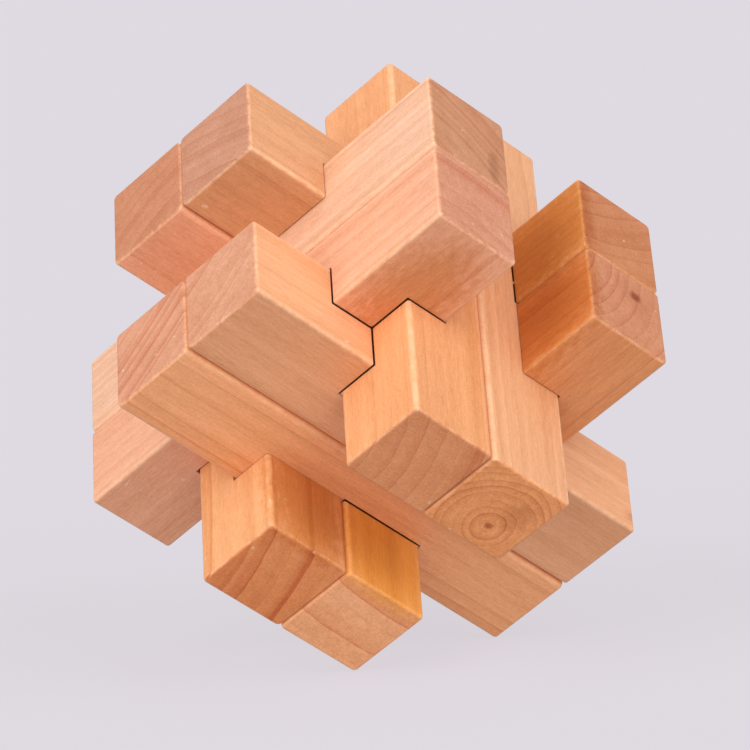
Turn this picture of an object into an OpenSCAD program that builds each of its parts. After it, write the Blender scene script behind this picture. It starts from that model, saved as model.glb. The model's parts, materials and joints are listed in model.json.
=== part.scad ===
// Twelve-piece wooden burr puzzle.
// Twelve identical notched sticks run along three directions, four each way, and lock
// without glue or pins. The puzzle rests on three corners, as it does when it is set down.

/* [Stick] */
// Length of a stick
stick_l = 80; // [76:1:110]
// Width and thickness of the square stick
stick_w = 16; // [14:0.1:17]
// Radius along the four long edges
edge_r = 1.0; // [0.6:0.1:2]
// Radius around the end faces
end_r = 0.3; // [0.1:0.05:0.4]

/* [Fit] */
// Clearance between the two sticks of a pair
pair_gap = 0.2; // [0.1:0.05:0.4]
// Clearance all round a stick that lies in a notch
notch_gap = 0.12; // [0.1:0.02:0.6]
// Least clearance left when loose sticks lean on each other
closed_gap = 0.08; // [0.05:0.01:0.1]

/* [Hidden] */
$fn = 48;

// The sticks lie on a lattice whose cell is one stick and its clearance wide.
// Lattice X runs left to right, Y front to back and Z from bottom to top.
pitch = stick_w + pair_gap;
notch_w = stick_w + 2 * notch_gap;
// Height of a notch's floor above the stick's middle
notch_floor = pair_gap / 2 - notch_gap;
// How far a stick can shift in the notches around it, and towards its partner
play = (notch_gap - closed_gap) / 2;
pair_play = (pair_gap - closed_gap) / 2;

// Each stick as [cell of its centre in pitches, lean in the notches in plays].
// The two sticks of a pair always lean on each other as well.
UPRIGHT_FRONT_LEFT = [[-0.5, -1, 0], [0, 1, 1]];
UPRIGHT_FRONT_RIGHT = [[0.5, -1, 0], [0, -1, -1]];
UPRIGHT_BACK_LEFT = [[-0.5, 1, 0], [0, -1, 1]];
UPRIGHT_BACK_RIGHT = [[0.5, 1, 0], [0, 0, 1]];
RAIL_LEFT_LOWER = [[-1, 0, -0.5], [1, 1, 0]];
RAIL_RIGHT_LOWER = [[1, 0, -0.5], [2, -1, 0]];
RAIL_LEFT_UPPER = [[-1, 0, 0.5], [0, -1, 0]];
RAIL_RIGHT_UPPER = [[1, 0, 0.5], [1, 0, 0]];
CROSSBAR_BOTTOM_FRONT = [[0, -0.5, -1], [0, 0, 1]];
CROSSBAR_BOTTOM_BACK = [[0, 0.5, -1], [0, 0, 0]];
CROSSBAR_TOP_FRONT = [[0, -0.5, 1], [0, 0, 1]];
CROSSBAR_TOP_BACK = [[0, 0.5, 1], [0, 0, -1]];

// Every stick has one notch on the face turned away from its partner
function outer_face(cell) = [for (c = cell) abs(c) == 0.5 ? sign(c) : 0];

// and two notches on the face turned to the middle of the puzzle.
function inner_face(cell) = [for (c = cell) abs(c) == 1 ? -sign(c) : 0];

// Shift of a stick inside its clearance
function shift(stick) = play * stick[1] - pair_play * outer_face(stick[0]);

// A tripod of corners carries the puzzle: this lattice direction then points down.
DOWN = [1, 1, -1] / sqrt(3);
FEET = [UPRIGHT_BACK_RIGHT, RAIL_RIGHT_LOWER, CROSSBAR_BOTTOM_BACK];
tilt = acos(1 / sqrt(3));
corner_drop = (1.5 * pitch + stick_w + stick_l / 2 - edge_r * (2 - sqrt(2))) / sqrt(3);
rest_height = corner_drop + max([for (stick = FEET) shift(stick) * DOWN]);

// Wood tones
PALE = "#E3AE78";
WARM = "#DB9A60";
PINK = "#DB9C7A";
AMBER = "#D08A48";

// Square with four round corners
module rounded_square(size, r) {
    square([size.x - 2 * r, size.y], center = true);
    square([size.x, size.y - 2 * r], center = true);
    for (sx = [-1, 1], sy = [-1, 1])
        translate([sx * (size.x / 2 - r), sy * (size.y / 2 - r)])
            circle(r);
}

// Plain stick along Z: round long edges, and ends with a small break
module blank() {
    intersection() {
        linear_extrude(stick_l, center = true)
            rounded_square([stick_w, stick_w], edge_r);
        rotate([90, 0, 0])
            linear_extrude(stick_w, center = true)
                rounded_square([stick_w, stick_l], end_r);
        rotate([90, 0, 90])
            linear_extrude(stick_w, center = true)
                rounded_square([stick_w, stick_l], end_r);
    }
}

// Notch in the +X face, as wide as a stick and half as deep, with clearance all round
module notch(along) {
    translate([notch_floor, -stick_w, along - notch_w / 2])
        cube([stick_w, 2 * stick_w, notch_w]);
}

// The stick that all twelve are copies of. The +X face has one notch, half a stick's width
// past the middle, and the +Y face has two, a stick's width either side of it.
module notched_stick() {
    difference() {
        blank();
        notch(pitch / 2);
        for (side = [-1, 1])
            rotate([0, 0, 90])
                notch(side * pitch);
    }
}

// Turns a lattice position into the resting pose
module at_rest() {
    translate([0, 0, rest_height])
        rotate([-tilt, 0, 0])
            rotate([0, 0, 45])
                children();
}

// One stick in its place
module burr_stick(stick) {
    x = outer_face(stick[0]);
    y = inner_face(stick[0]);
    z = cross(x, y);
    at_rest()
        translate(pitch * stick[0] + shift(stick))
            multmatrix([
                [x.x, y.x, z.x, 0],
                [x.y, y.y, z.y, 0],
                [x.z, y.z, z.z, 0],
                [0, 0, 0, 1]
            ])
                notched_stick();
}

module upright_front_left() {
    color(WARM) burr_stick(UPRIGHT_FRONT_LEFT);
}

module upright_front_right() {
    color(PALE) burr_stick(UPRIGHT_FRONT_RIGHT);
}

module upright_back_left() {
    color(WARM) burr_stick(UPRIGHT_BACK_LEFT);
}

module upright_back_right() {
    color(AMBER) burr_stick(UPRIGHT_BACK_RIGHT);
}

module rail_left_lower() {
    color(PINK) burr_stick(RAIL_LEFT_LOWER);
}

module rail_right_lower() {
    color(PINK) burr_stick(RAIL_RIGHT_LOWER);
}

module rail_left_upper() {
    color(PALE) burr_stick(RAIL_LEFT_UPPER);
}

module rail_right_upper() {
    color(AMBER) burr_stick(RAIL_RIGHT_UPPER);
}

module crossbar_bottom_front() {
    color(WARM) burr_stick(CROSSBAR_BOTTOM_FRONT);
}

module crossbar_bottom_back() {
    color(PINK) burr_stick(CROSSBAR_BOTTOM_BACK);
}

module crossbar_top_front() {
    color(AMBER) burr_stick(CROSSBAR_TOP_FRONT);
}

module crossbar_top_back() {
    color(PINK) burr_stick(CROSSBAR_TOP_BACK);
}

upright_front_left();
upright_front_right();
upright_back_left();
upright_back_right();
rail_left_lower();
rail_right_lower();
rail_left_upper();
rail_right_upper();
crossbar_bottom_front();
crossbar_bottom_back();
crossbar_top_front();
crossbar_top_back();
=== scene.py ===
import json
import math

import bpy
from mathutils import Matrix, Vector


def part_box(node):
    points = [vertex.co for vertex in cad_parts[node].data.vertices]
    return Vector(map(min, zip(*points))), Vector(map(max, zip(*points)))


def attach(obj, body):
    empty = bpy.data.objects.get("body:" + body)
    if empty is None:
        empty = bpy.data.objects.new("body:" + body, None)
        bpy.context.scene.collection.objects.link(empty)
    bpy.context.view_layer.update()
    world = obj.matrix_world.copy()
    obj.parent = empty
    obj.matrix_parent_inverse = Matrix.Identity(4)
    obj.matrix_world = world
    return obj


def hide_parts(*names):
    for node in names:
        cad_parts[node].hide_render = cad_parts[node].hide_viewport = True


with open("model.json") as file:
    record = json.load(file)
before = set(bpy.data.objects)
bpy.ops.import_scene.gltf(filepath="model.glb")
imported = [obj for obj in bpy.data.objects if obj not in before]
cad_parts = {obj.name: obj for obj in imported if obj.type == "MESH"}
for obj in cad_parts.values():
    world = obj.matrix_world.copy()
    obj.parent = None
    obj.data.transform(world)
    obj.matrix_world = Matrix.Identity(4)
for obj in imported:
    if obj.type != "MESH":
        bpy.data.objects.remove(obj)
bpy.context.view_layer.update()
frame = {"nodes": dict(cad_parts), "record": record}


# --- The stick ---------------------------------------------------------------------------
# All twelve sticks are one pattern: a square hardwood stick, sawn to length, with one notch
# in one face and two in the face beside it. The long edges are rounded by hand, each one a
# little differently, and the notch shoulders and sawn ends are only broken with sandpaper.

STICK_LENGTH = 0.080
STICK_WIDTH = 0.016
PITCH = 0.0162  # from one stick's middle to its partner's
NOTCH_WIDTH = 0.01624
NOTCH_FLOOR = -0.00002  # height above the stick's middle
FULL_EDGE = 0.002  # the largest rounding; an edge's weight is its share of this
SHOULDER_EDGE = 0.00006
END_EDGE = 0.0006
FLOOR_EDGE = 0.00006
MM = 0.001  # radii and the wood's pattern are given in millimetres
SIGNS = ((-1, -1), (1, -1), (-1, 1), (1, 1))
NEAR = 0.00005  # an edge this close to a face of the blank lies on it
BENT = 0.1  # an edge that turns by less, in radians, is flat


def add_node(tree, kind, settings=(), **inputs):
    """A node with its settings, and each input set to a value or joined to a socket."""
    made = tree.nodes.new(kind)
    for name, value in dict(settings).items():
        setattr(made, name, value)
    for name, value in inputs.items():
        socket = made.inputs[int(name[1:]) if name[0] == "_" else name.replace("_", " ")]
        if isinstance(value, bpy.types.NodeSocket):
            tree.links.new(value, socket)
        else:
            socket.default_value = value
    return made


def math_node(tree, operation, *values, clamp=False):
    """The result of a Math node on up to three values or sockets."""
    made = add_node(tree, "ShaderNodeMath", {"operation": operation, "use_clamp": clamp},
                    **{f"_{i}": v for i, v in enumerate(values)})
    return made.outputs[0]


def vector_node(tree, operation, *values):
    """The vector result of a Vector Math node."""
    made = add_node(tree, "ShaderNodeVectorMath", {"operation": operation},
                    **{f"_{i}": v for i, v in enumerate(values)})
    return made.outputs[0]


def combine(tree, x=0.0, y=0.0, z=0.0):
    """A vector from three values or sockets."""
    return add_node(tree, "ShaderNodeCombineXYZ", X=x, Y=y, Z=z).outputs[0]


def build_stick_tree():
    """Geometry Nodes: a blank less its three notches, with a rounding weight on every edge."""
    tree = bpy.data.node_groups.new("Notched stick", "GeometryNodeTree")
    for name, kind, value in (
        ("Length", "NodeSocketFloat", STICK_LENGTH),
        ("Width", "NodeSocketFloat", STICK_WIDTH),
        ("Pitch", "NodeSocketFloat", PITCH),
        ("Notch Width", "NodeSocketFloat", NOTCH_WIDTH),
        ("Notch Floor", "NodeSocketFloat", NOTCH_FLOOR),
        ("End Weight", "NodeSocketFloat", END_EDGE / FULL_EDGE),
        ("Shoulder Weight", "NodeSocketFloat", SHOULDER_EDGE / FULL_EDGE),
        ("Floor Weight", "NodeSocketFloat", FLOOR_EDGE / FULL_EDGE),
        *((f"Corner {i} Weight", "NodeSocketFloat", 0.5) for i in range(4)),
        ("Wood", "NodeSocketMaterial", None),
    ):
        socket = tree.interface.new_socket(name, in_out="INPUT", socket_type=kind)
        if value is not None:
            socket.default_value = value
    tree.interface.new_socket("Stick", in_out="OUTPUT", socket_type="NodeSocketGeometry")
    size = tree.nodes.new("NodeGroupInput").outputs
    length, width, pitch = size["Length"], size["Width"], size["Pitch"]

    blank = add_node(tree, "GeometryNodeMeshCube", Size=combine(tree, width, width, length))
    wide = math_node(tree, "MULTIPLY", width, 2.0)
    cutter = add_node(tree, "GeometryNodeMeshCube",
                      Size=combine(tree, width, wide, size["Notch Width"])).outputs["Mesh"]
    reach = math_node(tree, "ADD", size["Notch Floor"], math_node(tree, "MULTIPLY", width, 0.5))

    # one notch in the +X face, half a pitch past the middle
    single = add_node(tree, "GeometryNodeTransform", Geometry=cutter, Translation=combine(
        tree, reach, 0.0, math_node(tree, "MULTIPLY", pitch, 0.5)))
    # and two in the +Y face, a pitch either side of it
    turned = add_node(tree, "GeometryNodeTransform", Geometry=cutter,
                      Rotation=(0.0, 0.0, math.pi / 2), Translation=combine(tree, 0.0, reach, 0.0))
    down = math_node(tree, "MULTIPLY", pitch, -1.0)
    places = add_node(tree, "GeometryNodeMeshLine", {"mode": "OFFSET"}, Count=2,
                      Start_Location=combine(tree, 0.0, 0.0, down),
                      Offset=combine(tree, 0.0, 0.0, math_node(tree, "MULTIPLY", pitch, 2.0)))
    row = add_node(tree, "GeometryNodeInstanceOnPoints", Points=places.outputs[0],
                   Instance=turned.outputs[0])
    pair = add_node(tree, "GeometryNodeRealizeInstances", Geometry=row.outputs[0])
    cut = add_node(tree, "GeometryNodeMeshBoolean",
                   {"operation": "DIFFERENCE", "solver": "EXACT"})
    cut.inputs["Self Intersection"].default_value = True
    tree.links.new(blank.outputs["Mesh"], cut.inputs["Mesh 1"])
    for notch in (single, pair):
        tree.links.new(notch.outputs[0], cut.inputs["Mesh 2"])

    # Each edge is judged by its place: on a corner of the square, on an end, along a notch's
    # floor, or on a shoulder. The inner corners of the notches stay sharp.
    ends = add_node(tree, "GeometryNodeInputMeshEdgeVertices").outputs
    first, second = ends["Position 1"], ends["Position 2"]
    halfway = vector_node(tree, "SCALE", vector_node(tree, "ADD", first, second))
    halfway.node.inputs["Scale"].default_value = 0.5
    place = add_node(tree, "ShaderNodeSeparateXYZ", Vector=vector_node(tree, "ABSOLUTE", halfway))
    run = add_node(tree, "ShaderNodeSeparateXYZ", Vector=vector_node(
        tree, "ABSOLUTE", vector_node(tree, "NORMALIZE", vector_node(
            tree, "SUBTRACT", first, second))))
    side = math_node(tree, "SUBTRACT", math_node(tree, "MULTIPLY", width, 0.5), NEAR)
    tip = math_node(tree, "SUBTRACT", math_node(tree, "MULTIPLY", length, 0.5), NEAR)
    at_x = math_node(tree, "GREATER_THAN", place.outputs["X"], side)
    at_y = math_node(tree, "GREATER_THAN", place.outputs["Y"], side)
    at_tip = math_node(tree, "GREATER_THAN", place.outputs["Z"], tip)
    lengthwise = math_node(tree, "GREATER_THAN", run.outputs["Z"], 0.5)
    signed = add_node(tree, "GeometryNodeInputMeshEdgeAngle").outputs["Signed Angle"]
    inner = math_node(tree, "LESS_THAN", signed, -BENT)
    outer = math_node(tree, "GREATER_THAN", signed, BENT)
    corner = math_node(tree, "MULTIPLY", lengthwise, math_node(tree, "MULTIPLY", at_x, at_y))
    halfway = add_node(tree, "ShaderNodeSeparateXYZ", Vector=halfway).outputs
    plus_x = math_node(tree, "GREATER_THAN", halfway["X"], 0.0)
    plus_y = math_node(tree, "GREATER_THAN", halfway["Y"], 0.0)

    def choose(test, yes, no):
        """One of two weights."""
        made = add_node(tree, "GeometryNodeSwitch", {"input_type": "FLOAT"},
                        Switch=test, **{"False": no, "True": yes})
        return made.outputs[0]

    weight = choose(lengthwise, size["Floor Weight"], size["Shoulder Weight"])
    weight = choose(at_tip, size["End Weight"], weight)
    weight = choose(corner, choose(
        plus_y, choose(plus_x, size["Corner 3 Weight"], size["Corner 2 Weight"]),
        choose(plus_x, size["Corner 1 Weight"], size["Corner 0 Weight"])), weight)
    weight = math_node(tree, "MULTIPLY", weight, outer)
    kept = add_node(tree, "GeometryNodeStoreNamedAttribute",
                    {"data_type": "FLOAT", "domain": "EDGE"}, Geometry=cut.outputs["Mesh"],
                    Name="bevel_weight_edge", Value=weight)
    kept = add_node(tree, "GeometryNodeStoreNamedAttribute",
                    {"data_type": "BOOLEAN", "domain": "EDGE"}, Geometry=kept.outputs[0],
                    Name="sharp_edge", Value=inner)
    done = add_node(tree, "GeometryNodeSetMaterial", Geometry=kept.outputs[0],
                    Material=size["Wood"])
    tree.links.new(done.outputs[0], tree.nodes.new("NodeGroupOutput").inputs[0])
    return tree


STICK_TREE = build_stick_tree()

# Where each stick lies follows from its own box: the middle of the box is the stick's middle.
centres = {name: sum(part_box(name), Vector()) / 2 for name in frame["nodes"]}
puzzle_centre = sum(centres.values(), Vector()) / len(centres)

# The uprights run the way they slide. The rails and crossbars run the same way, turned a
# third of a circle about the upright axis of the resting puzzle.
up_the_uprights = Vector(frame["record"]["behaviour"]["joints"][0]["axis"]).normalized()
THIRD = 2 * math.pi / 3
DIRECTIONS = {
    "crossbar": -(Matrix.Rotation(THIRD, 3, "Z") @ up_the_uprights),
    "rail": -(Matrix.Rotation(-THIRD, 3, "Z") @ up_the_uprights),
    "upright": up_the_uprights,
}
bodies = {node: body for body, nodes in frame["record"]["behaviour"]["bodies"].items()
          for node in nodes}


def stick_place(name):
    """Turn and shift that take the pattern stick to its place: its single notch faces away
    from its partner, half a pitch off, and its two notches face the puzzle's middle."""
    away = centres[name] - puzzle_centre
    across = [d for kind, d in DIRECTIONS.items() if not name.startswith(kind)]
    across.sort(key=lambda d: abs(away.dot(d)))
    outer = across[0] * math.copysign(1, away.dot(across[0]))
    inner = across[1] * -math.copysign(1, away.dot(across[1]))
    turn = Matrix((outer, inner, outer.cross(inner))).transposed()
    return Matrix.Translation(centres[name]) @ turn.to_4x4()


def make_stick(name, wood, edges):
    """One stick in its place, riding with its body. The radii of its long edges, in
    millimetres, are given for (-, -), (+, -), (-, +) and (+, +) across the puzzle."""
    turn = stick_place(name).to_3x3()
    over = [d for kind, d in DIRECTIONS.items() if not name.startswith(kind)]
    given = {"Wood": wood}
    for signs, radius in zip(SIGNS, edges):
        local = turn.transposed() @ (over[0] * signs[0] + over[1] * signs[1])
        corner = SIGNS.index((round(math.copysign(1, local.x)), round(math.copysign(1, local.y))))
        given[f"Corner {corner} Weight"] = radius * MM / FULL_EDGE
    stick = bpy.data.objects.new(name + "_stick", bpy.data.meshes.new(name))
    bpy.context.scene.collection.objects.link(stick)
    cut = stick.modifiers.new("Notches", "NODES")
    cut.node_group = STICK_TREE
    for item in STICK_TREE.interface.items_tree:
        if item.name in given:
            cut[item.identifier] = given[item.name]
    ease = stick.modifiers.new("Eased edges", "BEVEL")
    ease.limit_method = "WEIGHT"
    ease.width = FULL_EDGE
    ease.segments = 6
    ease.use_clamp_overlap = False
    ease.harden_normals = True
    shown = stick.evaluated_get(bpy.context.evaluated_depsgraph_get())
    mesh = bpy.data.meshes.new_from_object(shown)
    stick.modifiers.clear()
    stick.data = mesh
    mesh.transform(stick_place(name))
    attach(stick, bodies[name])
    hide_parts(name)


# --- The wood ----------------------------------------------------------------------------
# A light, close-grained hardwood under clear satin lacquer. The growth rings are cylinders
# round the tree's pith, so one pattern gives lines on the ends and bands along the sides.

FIBRE_CONTRAST = 1.5
PORE_SHARE, PORE_DARK = 0.22, (0.80, 0.62, 0.50, 1.0)
FLECK_SHARE, FLECK_PALE = 0.6, (0.95, 0.76, 0.60, 1.0)
RIM_HIGHLIGHT_SHARE = 0.45  # how much of the paler tone an edge takes, as a painted highlight
# tones of the painted highlights: along the long edges, and round the ends over rubbed wood
LONG_RIM_HIGHLIGHT = (0.97, 0.66, 0.42, 1.0)
END_RIM_WEAR_AND_HIGHLIGHT = (0.98, 0.70, 0.46, 1.0)
NEXT_TREE = (37.0, 53.0, 211.0)  # from one stick's place in the grain to the next one's

def ramp(tree, value, low, high, to_low=0.0, to_high=1.0):
    """A smooth step from one value to another."""
    made = add_node(tree, "ShaderNodeMapRange", {"interpolation_type": "SMOOTHSTEP"}, Value=value)
    for socket, number in zip(("From Min", "From Max", "To Min", "To Max"),
                              (low, high, to_low, to_high)):
        if isinstance(number, bpy.types.NodeSocket):
            tree.links.new(number, made.inputs[socket])
        else:
            made.inputs[socket].default_value = number
    return made.outputs[0]


def mix_colour(tree, factor, a, b, blend="MIX"):
    """The colour of a Mix node."""
    made = add_node(tree, "ShaderNodeMix", {"data_type": "RGBA", "blend_type": blend},
                    _0=factor, _6=a, _7=b)
    return made.outputs[2]


def noise(tree, place, scale, detail=2.0, roughness=0.5):
    """Noise on a place stretched by a scale along each axis, per millimetre."""
    spread = vector_node(tree, "MULTIPLY", place, scale)
    made = add_node(tree, "ShaderNodeTexNoise", Vector=spread, Scale=1.0, Detail=detail,
                    Roughness=roughness)
    return made.outputs["Fac"]


def build_wood_group():
    """Shader group: colour, roughness and height of lacquered wood, on a place in millimetres
    along the stick's own axes."""
    tree = bpy.data.node_groups.new("Ring-grown wood", "ShaderNodeTree")
    for name, kind in (
        ("Place", "NodeSocketVector"), ("Along", "NodeSocketVector"),
        ("Pith", "NodeSocketVector"), ("Shift", "NodeSocketVector"),
        ("Ring Width", "NodeSocketFloat"), ("Ring Depth", "NodeSocketFloat"),
        ("Waver", "NodeSocketFloat"),
        ("Wood Colour", "NodeSocketColor"), ("Ring Colour", "NodeSocketColor"),
        ("End Colour", "NodeSocketColor"),
    ):
        tree.interface.new_socket(name, in_out="INPUT", socket_type=kind)
    for name, kind in (("Colour", "NodeSocketColor"), ("Roughness", "NodeSocketFloat"),
                       ("Height", "NodeSocketFloat")):
        tree.interface.new_socket(name, in_out="OUTPUT", socket_type=kind)
    given = tree.nodes.new("NodeGroupInput").outputs
    place = given["Place"]
    here = vector_node(tree, "ADD", place, given["Shift"])

    # growth rings, wavering a little along the stick and across it: each one darkens slowly,
    # ends in a thin dark line and falls back to the pale wood of the next
    sway = add_node(tree, "ShaderNodeTexNoise", Scale=1.0, Detail=2.0,
                    Vector=vector_node(tree, "MULTIPLY", here, (0.09, 0.09, 0.018)))
    sway = vector_node(tree, "SUBTRACT", sway.outputs["Color"], (0.5, 0.5, 0.5))
    sway = vector_node(tree, "SCALE", sway)
    tree.links.new(given["Waver"], sway.node.inputs["Scale"])
    from_pith = vector_node(tree, "SUBTRACT", vector_node(tree, "ADD", place, sway),
                            given["Pith"])
    from_pith = vector_node(tree, "MULTIPLY", from_pith, (1.0, 1.0, 0.0))
    far = add_node(tree, "ShaderNodeVectorMath", {"operation": "LENGTH"}, _0=from_pith)
    far = far.outputs["Value"]
    uneven = add_node(tree, "ShaderNodeTexNoise", {"noise_dimensions": "1D"}, Detail=1.0,
                      Scale=1.0, W=math_node(tree, "MULTIPLY", far, 0.31)).outputs["Fac"]
    count = math_node(tree, "ADD", math_node(tree, "DIVIDE", far, given["Ring Width"]),
                      math_node(tree, "MULTIPLY", uneven, 1.6))
    part = math_node(tree, "FRACT", count)
    number = add_node(tree, "ShaderNodeTexWhiteNoise", {"noise_dimensions": "1D"},
                      W=math_node(tree, "FLOOR", count)).outputs["Value"]
    slow = ramp(tree, part, 0.1, 0.92)
    fall = ramp(tree, part, 0.93, 1.0, 1.0, 0.0)
    line = math_node(tree, "MULTIPLY", ramp(tree, part, 0.80, 0.95), fall)
    band = math_node(tree, "MULTIPLY", math_node(tree, "MULTIPLY", slow, fall), 0.55)
    ring = math_node(tree, "ADD", band, math_node(tree, "MULTIPLY", line, 0.6))
    ring = math_node(tree, "MULTIPLY", ring, math_node(tree, "MULTIPLY_ADD", number, 0.9, 0.25))
    ring = math_node(tree, "MULTIPLY", ring, given["Ring Depth"], clamp=True)

    # how squarely the surface cuts across the fibres
    normal = add_node(tree, "ShaderNodeTexCoord").outputs["Normal"]
    across = add_node(tree, "ShaderNodeVectorMath", {"operation": "DOT_PRODUCT"},
                      _0=normal, _1=given["Along"])
    across = math_node(tree, "ABSOLUTE", across.outputs["Value"])
    end = ramp(tree, across, 0.35, 0.85)

    # fibres: fine threads, broader ribbons and slow drifts of tone
    thread = noise(tree, here, (3.0, 3.0, 0.35), 4.0, 0.7)
    ribbon = noise(tree, here, (0.55, 0.55, 0.016), 3.0, 0.6)
    drift = noise(tree, here, (0.13, 0.13, 0.03), 2.0)
    grit = noise(tree, here, (2.6, 2.6, 2.6), 3.0, 0.75)
    side_tone = math_node(tree, "ADD", math_node(tree, "MULTIPLY", thread, 0.45),
                          math_node(tree, "MULTIPLY", ribbon, 0.30))
    side_tone = math_node(tree, "MULTIPLY_ADD", grit, 0.35, side_tone)
    end_tone = math_node(tree, "ADD", math_node(tree, "MULTIPLY", ribbon, 0.25),
                         math_node(tree, "MULTIPLY", grit, 0.60))
    tone = add_node(tree, "ShaderNodeMix", {"data_type": "FLOAT"}, _0=end, _2=side_tone,
                    _3=end_tone).outputs[0]
    tone = math_node(tree, "SUBTRACT", tone, math_node(tree, "MULTIPLY_ADD", end, -0.125, 0.55))
    tone = math_node(tree, "MULTIPLY", tone, FIBRE_CONTRAST)
    tone = math_node(tree, "ADD", tone, math_node(tree, "MULTIPLY_ADD", drift, 0.30, -0.15))

    # pores: short dark dashes along the grain, dots on the ends
    cells = add_node(tree, "ShaderNodeTexVoronoi", Scale=1.0,
                     Vector=vector_node(tree, "MULTIPLY", here, (1.9, 1.9, 0.42))).outputs
    chance = add_node(tree, "ShaderNodeSeparateXYZ", Vector=cells["Color"]).outputs
    pore = math_node(tree, "MULTIPLY", ramp(tree, cells["Distance"], 0.10, 0.22, 1.0, 0.0),
                     math_node(tree, "GREATER_THAN", chance["X"], 0.62))

    # pale flecks, where dust or a burst fibre sits in the lacquer
    ragged = noise(tree, here, (2.6, 2.6, 2.0), 3.0, 0.7)
    spots = add_node(tree, "ShaderNodeTexVoronoi", Scale=1.0,
                     Vector=vector_node(tree, "MULTIPLY", here, (0.34, 0.34, 0.17))).outputs
    pick = add_node(tree, "ShaderNodeSeparateXYZ", Vector=spots["Color"]).outputs
    edge = math_node(tree, "MULTIPLY_ADD", ragged, 0.55, -0.225)
    fleck = ramp(tree, math_node(tree, "SUBTRACT", spots["Distance"], edge), -0.01, 0.02, 1.0, 0.0)
    fleck = math_node(tree, "MULTIPLY", fleck,
                      math_node(tree, "GREATER_THAN", pick["Y"], 0.60))

    # the pale edges: a painted highlight along every edge, and on the ends also rubbed wood where
    # the lacquer is thin
    size = add_node(tree, "ShaderNodeSeparateXYZ",
                    Vector=vector_node(tree, "ABSOLUTE", place)).outputs
    half_width, half_length = STICK_WIDTH / 2 / MM, STICK_LENGTH / 2 / MM
    wide = math_node(tree, "MAXIMUM", size["X"], size["Y"])
    end_rim_wear_and_highlight = math_node(tree, "MULTIPLY", ramp(tree, wide, half_width - 0.42, half_width - 0.12),
                        ramp(tree, size["Z"], half_length - 0.42, half_length - 0.12))
    broken = noise(tree, here, (0.5, 0.5, 0.5), 4.0, 0.75)
    end_rim_wear_and_highlight = math_node(tree, "MULTIPLY", end_rim_wear_and_highlight, ramp(tree, broken, 0.42, 0.60, 0.1, 1.0))

    # a painted highlight along the long edges
    narrow = math_node(tree, "MINIMUM", size["X"], size["Y"])
    long_rim_highlight = math_node(tree, "MULTIPLY", ramp(tree, narrow, half_width - 1.0, half_width - 0.35),
                         ramp(tree, broken, 0.38, 0.60, 0.3, 1.0))

    wood = mix_colour(tree, ring, given["Wood Colour"], given["Ring Colour"])
    cut = mix_colour(tree, math_node(tree, "MULTIPLY", ring, 1.3), given["End Colour"],
                     mix_colour(tree, 0.75, given["End Colour"], given["Ring Colour"], "MULTIPLY"))
    colour = mix_colour(tree, end, wood, cut)
    # darker wood is redder too
    light = math_node(tree, "ADD", tone, 1.0)
    colour = mix_colour(tree, 1.0, colour, combine(
        tree, math_node(tree, "POWER", light, 0.6), light, math_node(tree, "POWER", light, 1.4)),
        "MULTIPLY")
    dark = mix_colour(tree, 1.0, colour, PORE_DARK, "MULTIPLY")
    for share, mask, paint in ((PORE_SHARE, pore, dark), (FLECK_SHARE, fleck, FLECK_PALE),
                               (RIM_HIGHLIGHT_SHARE, long_rim_highlight, LONG_RIM_HIGHLIGHT),
                               (RIM_HIGHLIGHT_SHARE, end_rim_wear_and_highlight, END_RIM_WEAR_AND_HIGHLIGHT)):
        colour = mix_colour(tree, math_node(tree, "MULTIPLY", mask, share), colour, paint)

    # satin lacquer, a little duller on the threads and the ends, with the pores left open
    rough = math_node(tree, "MULTIPLY_ADD", thread, 0.16, 0.36)
    rough = math_node(tree, "ADD", rough, math_node(tree, "MULTIPLY", end, 0.06))
    height = math_node(tree, "SUBTRACT", math_node(tree, "MULTIPLY", thread, 0.7),
                       math_node(tree, "MULTIPLY", pore, 0.8))
    height = math_node(tree, "ADD", height, math_node(tree, "MULTIPLY", fleck, 0.6))
    height = math_node(tree, "ADD", height, math_node(tree, "MULTIPLY", grit, 0.35))
    out = tree.nodes.new("NodeGroupOutput")
    for name, socket in (("Colour", colour), ("Roughness", rough), ("Height", height)):
        tree.links.new(socket, out.inputs[name])
    return tree


WOOD_GROUP = build_wood_group()


def knot_and_painted_shade_patch(tree, place, colour, centre, reach, tint, depth):
    """A knot, streak or painted shade: an uneven oval patch that darkens the wood."""
    least = 0.01  # a patch with no reach along an axis would divide by nothing
    apart = vector_node(tree, "DIVIDE", vector_node(tree, "SUBTRACT", place, centre),
                        [max(abs(r), least) for r in reach])
    far = add_node(tree, "ShaderNodeVectorMath", {"operation": "LENGTH"}, _0=apart)
    ragged = noise(tree, place, (0.9, 0.9, 0.5), 3.0, 0.65)
    far = math_node(tree, "ADD", far.outputs["Value"],
                    math_node(tree, "MULTIPLY_ADD", ragged, 1.0, -0.5))
    patch = math_node(tree, "MULTIPLY", ramp(tree, far, 0.3, 1.1, 1.0, 0.0), depth)
    return mix_colour(tree, patch, colour, (*tint, 1.0), "MULTIPLY")


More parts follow.
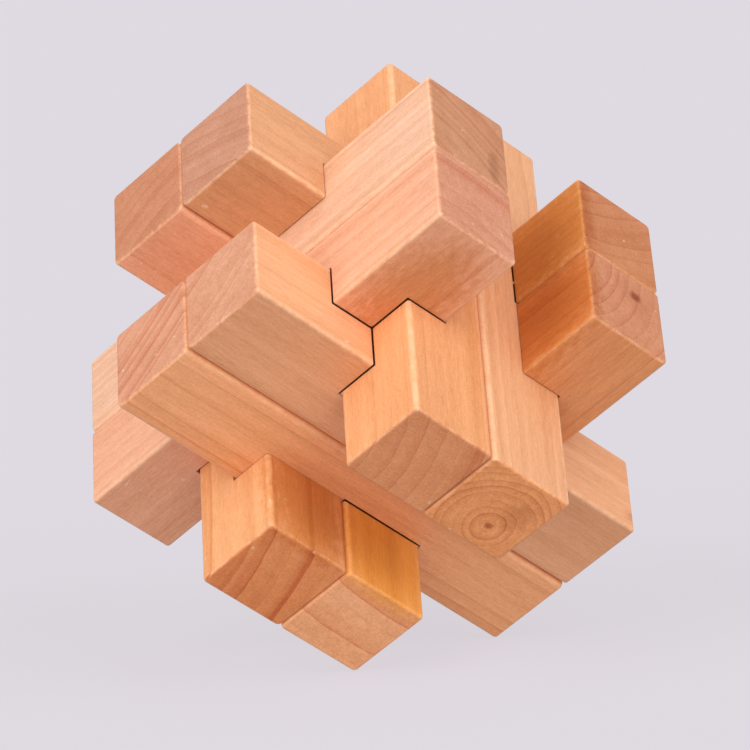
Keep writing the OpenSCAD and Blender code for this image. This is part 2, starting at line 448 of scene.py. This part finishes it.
def make_wood(name, wood, ring, end, pith, ring_width=2.2, ring_depth=0.45, waver=1.4,
              marks=()):
    """The lacquered wood of one stick. Pith and marks are given across the puzzle, in
    millimetres from the stick's middle, and turned onto the stick's own axes here."""
    place = stick_place(name)
    back = place.to_3x3().transposed()
    material = bpy.data.materials.new(name.replace("_", " ") + " wood")
    material.use_nodes = True
    tree = material.node_tree
    shader = tree.nodes["Principled BSDF"]
    where = add_node(tree, "ShaderNodeTexCoord").outputs["Object"]
    where = add_node(tree, "ShaderNodeMapping", {"vector_type": "TEXTURE"}, Vector=where,
                     Location=place.translation, Rotation=place.to_euler(),
                     Scale=(MM, MM, MM)).outputs[0]
    order = sorted(centres).index(name)
    pith = back @ Vector(pith)
    group = add_node(
        tree, "ShaderNodeGroup", {"node_tree": WOOD_GROUP}, Place=where,
        Along=place.to_3x3().col[2], Pith=(pith.x, pith.y, 0.0),
        Shift=[step * order for step in NEXT_TREE], Ring_Width=ring_width,
        Ring_Depth=ring_depth, Waver=waver, Wood_Colour=(*wood, 1.0),
        Ring_Colour=(*ring, 1.0), End_Colour=(*end, 1.0))
    colour = group.outputs["Colour"]
    for centre, reach, tint, depth in marks:
        colour = knot_and_painted_shade_patch(tree, where, colour, back @ centre, back @ reach, tint, depth)
    tree.links.new(colour, shader.inputs["Base Color"])
    tree.links.new(group.outputs["Roughness"], shader.inputs["Roughness"])
    grain = add_node(tree, "ShaderNodeBump", Strength=0.55, Distance=0.00006,
                     Height=group.outputs["Height"])
    tree.links.new(grain.outputs[0], shader.inputs["Normal"])
    shader.inputs["Coat Weight"].default_value = 0.08
    shader.inputs["Coat Roughness"].default_value = 0.25
    shader.inputs["Specular IOR Level"].default_value = 0.22
    return material


X, Y, Z = DIRECTIONS["crossbar"], DIRECTIONS["rail"], DIRECTIONS["upright"]


def across_puzzle(x=0.0, y=0.0, z=0.0):
    """A place given along the crossbars, rails and uprights."""
    return X * x + Y * y + Z * z


# tones of the long grain and its growth lines
WARM = dict(wood=(0.86, 0.42, 0.19), ring=(0.68, 0.27, 0.09))
PALE = dict(wood=(0.83, 0.50, 0.33), ring=(0.70, 0.34, 0.15))
PINK = dict(wood=(0.85, 0.44, 0.27), ring=(0.68, 0.27, 0.13))
# tints of the marks, multiplied into the wood
BROWN = (0.50, 0.25, 0.14)  # knots and dark streaks
SMOKE = (0.60, 0.52, 0.46)  # a grey-brown corner
# The two shades deepen faces that other sticks hem in. Part of that depth is probably light
# that bounces from wood to wood, painted in here.
DEEP_ORANGE_PAINTED_SHADE = (0.80, 0.60, 0.34)
DEEP_HONEY_PAINTED_SHADE = (1.0, 0.88, 0.42)

# --- Uprights ----------------------------------------------------------------------------
# Two pairs of sticks that slope up to the back. Each is planed, sanded and lacquered before
# it is slid home, and nothing but the notches holds it.

make_stick("upright_front_left", make_wood(
    "upright_front_left", wood=(0.85, 0.40, 0.18), ring=(0.68, 0.27, 0.09),
    end=(0.77, 0.33, 0.145), pith=across_puzzle(-30, 10),
    ring_width=3.0), edges=(0.85, 1.1, 1.1, 1.0))
make_stick("upright_front_right", make_wood(
    "upright_front_right", wood=(0.80, 0.41, 0.21), ring=(0.64, 0.28, 0.12),
    end=(0.85, 0.36, 0.135), pith=across_puzzle(1.4, 3.2), ring_width=1.4, ring_depth=0.5,
    waver=2.6, marks=(
        (across_puzzle(1.4, 3.2, -40), across_puzzle(0.9, 0.9, 9), BROWN, 0.8),
        (across_puzzle(3.6, -1.0, -40), across_puzzle(3.2, 4.2, 9), BROWN, 0.30))),
    edges=(0.9, 0.5, 1.0, 1.0))
make_stick("upright_back_left", make_wood(
    "upright_back_left", **WARM, end=(0.80, 0.30, 0.105), pith=across_puzzle(-60, 20),
    ring_width=3.5, ring_depth=0.6, marks=(
        # painted shade on the lower end of the face that the crossbars hem in
        (across_puzzle(0, -8, -30), across_puzzle(12, 3, 18), DEEP_ORANGE_PAINTED_SHADE, 0.9),)),
    edges=(0.8, 1.1, 0.9, 1.1))
make_stick("upright_back_right", make_wood(
    "upright_back_right", wood=(0.92, 0.45, 0.19), ring=(0.70, 0.29, 0.09),
    end=(0.95, 0.46, 0.22), pith=across_puzzle(5, -70), ring_width=3.8,
    ring_depth=0.6, marks=(
        # painted shade on the lower end of the face that the crossbars hem in
        (across_puzzle(0, -8, -31), across_puzzle(15, 3.5, 20), DEEP_HONEY_PAINTED_SHADE, 1.0),)),
    edges=(1.1, 0.7, 1.0, 1.0))

# --- Rails -------------------------------------------------------------------------------
# Two pairs of sticks that run from the front right down to the back left, on each side of
# the puzzle. They lie in the uprights' inner notches.

make_stick("rail_left_lower", make_wood(
    "rail_left_lower", **PINK, end=(0.67, 0.31, 0.185), pith=across_puzzle(-4, 0, -34),
    ring_width=3.0, ring_depth=0.42, marks=(
        # painted shade on the underside, which the sticks around it hem in
        (across_puzzle(0, -26, -8), across_puzzle(10, 15, 3), DEEP_ORANGE_PAINTED_SHADE, 0.8),)),
    edges=(0.5, 0.7, 1.1, 1.0))
make_stick("rail_right_lower", make_wood(
    "rail_right_lower", wood=(0.78, 0.34, 0.14), ring=(0.60, 0.20, 0.07),
    end=(0.62, 0.27, 0.14), pith=across_puzzle(-20, 0, 10), ring_width=2.4, marks=(
        (across_puzzle(2.2, -40, 3.4), across_puzzle(1.6, 5, 1.3), BROWN, 0.9),
        (across_puzzle(2.0, -40, 3.0), across_puzzle(4.5, 7, 4.0), BROWN, 0.22),
        # painted shade on the left face, in the shadow of the middle sticks
        (across_puzzle(-8, -30, 0), across_puzzle(3.5, 24, 15), DEEP_ORANGE_PAINTED_SHADE, 1.0))),
    edges=(0.35, 1.0, 1.0, 1.2))
make_stick("rail_left_upper", make_wood(
    "rail_left_upper", **PALE, end=(0.58, 0.28, 0.15), pith=across_puzzle(-20, 0, -40),
    ring_width=3.2, marks=(
        (across_puzzle(5.0, -40, -4.0), across_puzzle(1.5, 4, 4.5), SMOKE, 0.6),)),
    edges=(1.1, 1.0, 0.4, 1.7))
make_stick("rail_right_upper", make_wood(
    "rail_right_upper", wood=(0.82, 0.42, 0.17), ring=(0.64, 0.26, 0.08),
    end=(0.57, 0.23, 0.10), pith=across_puzzle(-20, 0, 40), ring_width=2.4, marks=(
        # painted shade on the left face, in the shadow of the middle sticks
        (across_puzzle(-8, -30, 0), across_puzzle(3.5, 26, 16), DEEP_ORANGE_PAINTED_SHADE, 1.0),)),
    edges=(0.9, 1.1, 0.6, 1.7))

# --- Crossbars ---------------------------------------------------------------------------
# Two pairs of sticks that run from the front left down to the back right, above and below
# the rails. The lower pair crosses in front of the uprights' lower ends.

make_stick("crossbar_bottom_front", make_wood(
    "crossbar_bottom_front", wood=(0.84, 0.43, 0.225), ring=(0.68, 0.27, 0.10),
    end=(0.69, 0.34, 0.20), pith=across_puzzle(0, 40, 60),
    ring_width=3.4, ring_depth=0.5, marks=(
        (across_puzzle(4.0, -8, -2.0), across_puzzle(0.8, 2, 0.6), BROWN, 0.9),
        (across_puzzle(40, -6, -5.0), across_puzzle(3.5, 4, 1.6), BROWN, 0.45))),
    edges=(0.5, 1.2, 0.8, 1.1))
make_stick("crossbar_bottom_back", make_wood(
    "crossbar_bottom_back", wood=(0.95, 0.46, 0.215), ring=(0.72, 0.27, 0.11),
    end=(0.68, 0.33, 0.195), pith=across_puzzle(0, 90, 140),
    ring_width=2.2, ring_depth=0.55, waver=0.8), edges=(1.1, 1.0, 1.1, 1.0))
make_stick("crossbar_top_front", make_wood(
    "crossbar_top_front", wood=(0.74, 0.39, 0.20), ring=(0.58, 0.24, 0.10),
    end=(0.58, 0.28, 0.17), pith=across_puzzle(0, 20, -60), ring_width=3.0),
    edges=(0.45, 1.2, 0.8, 1.2))
make_stick("crossbar_top_back", make_wood(
    "crossbar_top_back", **PINK, end=(0.58, 0.25, 0.13), pith=across_puzzle(0, -20, -60),
    ring_width=3.0), edges=(1.2, 0.8, 1.2, 1.2))

# --- Studio ------------------------------------------------------------------------------
# A pale seamless floor under two wide softboxes and a low warm fill. The floor and the room
# glow by themselves and look equally bright, but light the puzzle with little more than half
# of that.

FLOOR_RADIUS = 9.0
FLOOR_POINTS = 96
PAPER_REFLECTS = 0.12  # of its own tone; the rest of its brightness is glow
PALE_GREY = (0.738, 0.701, 0.753)

floor_mesh = bpy.data.meshes.new("floor")
rim = [(FLOOR_RADIUS * math.cos(a), FLOOR_RADIUS * math.sin(a), 0.0)
       for a in (2 * math.pi * i / FLOOR_POINTS for i in range(FLOOR_POINTS))]
floor_mesh.from_pydata(rim, [], [tuple(range(FLOOR_POINTS))])
floor = bpy.data.objects.new("floor", floor_mesh)
bpy.context.scene.collection.objects.link(floor)
paper = bpy.data.materials.new("floor paper")
paper.use_nodes = True
paper_shader = paper.node_tree.nodes["Principled BSDF"]
paper_tone = (*(PAPER_REFLECTS * c for c in PALE_GREY), 1.0)
paper_shader.inputs["Base Color"].default_value = paper_tone
paper_shader.inputs["Roughness"].default_value = 0.9
paper_shader.inputs["Specular IOR Level"].default_value = 0.0
paper_shader.inputs["Emission Color"].default_value = (*PALE_GREY, 1.0)
floor_mesh.materials.append(paper)

world = bpy.data.worlds.new("studio")
world.use_nodes = True
backdrop = world.node_tree.nodes["Background"]
backdrop.inputs["Color"].default_value = (*PALE_GREY, 1.0)
bpy.context.scene.world = world


def backlight(tree, socket, seen, spill):
    """A backdrop's own light: what is seen of it, and the weaker spill on the puzzle."""
    seen_directly = add_node(tree, "ShaderNodeLightPath").outputs["Is Camera Ray"]
    tree.links.new(math_node(tree, "MULTIPLY_ADD", seen_directly, seen - spill, spill), socket)


backlight(paper.node_tree, paper_shader.inputs["Emission Strength"], seen=0.866, spill=0.56)
backlight(world.node_tree, backdrop.inputs["Strength"], seen=1.0, spill=0.55)


def softbox(name, towards, strength, spread, colour=(1.0, 1.0, 1.0)):
    """A wide soft light from one direction."""
    light = bpy.data.lights.new(name, "SUN")
    light.energy = strength
    light.angle = math.radians(spread)
    light.color = colour
    lamp = bpy.data.objects.new(name, light)
    lamp.rotation_euler = Vector(towards).to_track_quat("Z", "Y").to_euler()
    bpy.context.scene.collection.objects.link(lamp)


softbox("left softbox", (-0.62, -0.50, 0.60), 1.95, 50)
softbox("right softbox", (0.62, -0.50, 0.60), 1.6, 50)
softbox("warm front fill", (0.05, -1.0, 0.10), 0.92, 60, (1.0, 0.74, 0.50))

# --- Camera ------------------------------------------------------------------------------
# A long lens about 0.8 m in front of the puzzle and a little above it, rolled by a few
# degrees.

VIEW_FROM = Vector((-0.0074, -0.8253, 0.1666))
VIEW_TO = Vector((0.0003, -0.0003, 0.0442))
ROLL = math.radians(-3.41)

camera_data = bpy.data.cameras.new("camera")
camera_data.sensor_width = 36.0
camera_data.lens = 253.0
camera_data.clip_start, camera_data.clip_end = 0.05, 40.0
camera = bpy.data.objects.new("camera", camera_data)
bpy.context.scene.collection.objects.link(camera)
look = (VIEW_TO - VIEW_FROM).to_track_quat("-Z", "Y").to_matrix()
camera.matrix_world = Matrix.Translation(VIEW_FROM) @ (
    look @ Matrix.Rotation(ROLL, 3, "Z")).to_4x4()
bpy.context.scene.camera = camera
bpy.context.scene.view_settings.view_transform = "Standard"
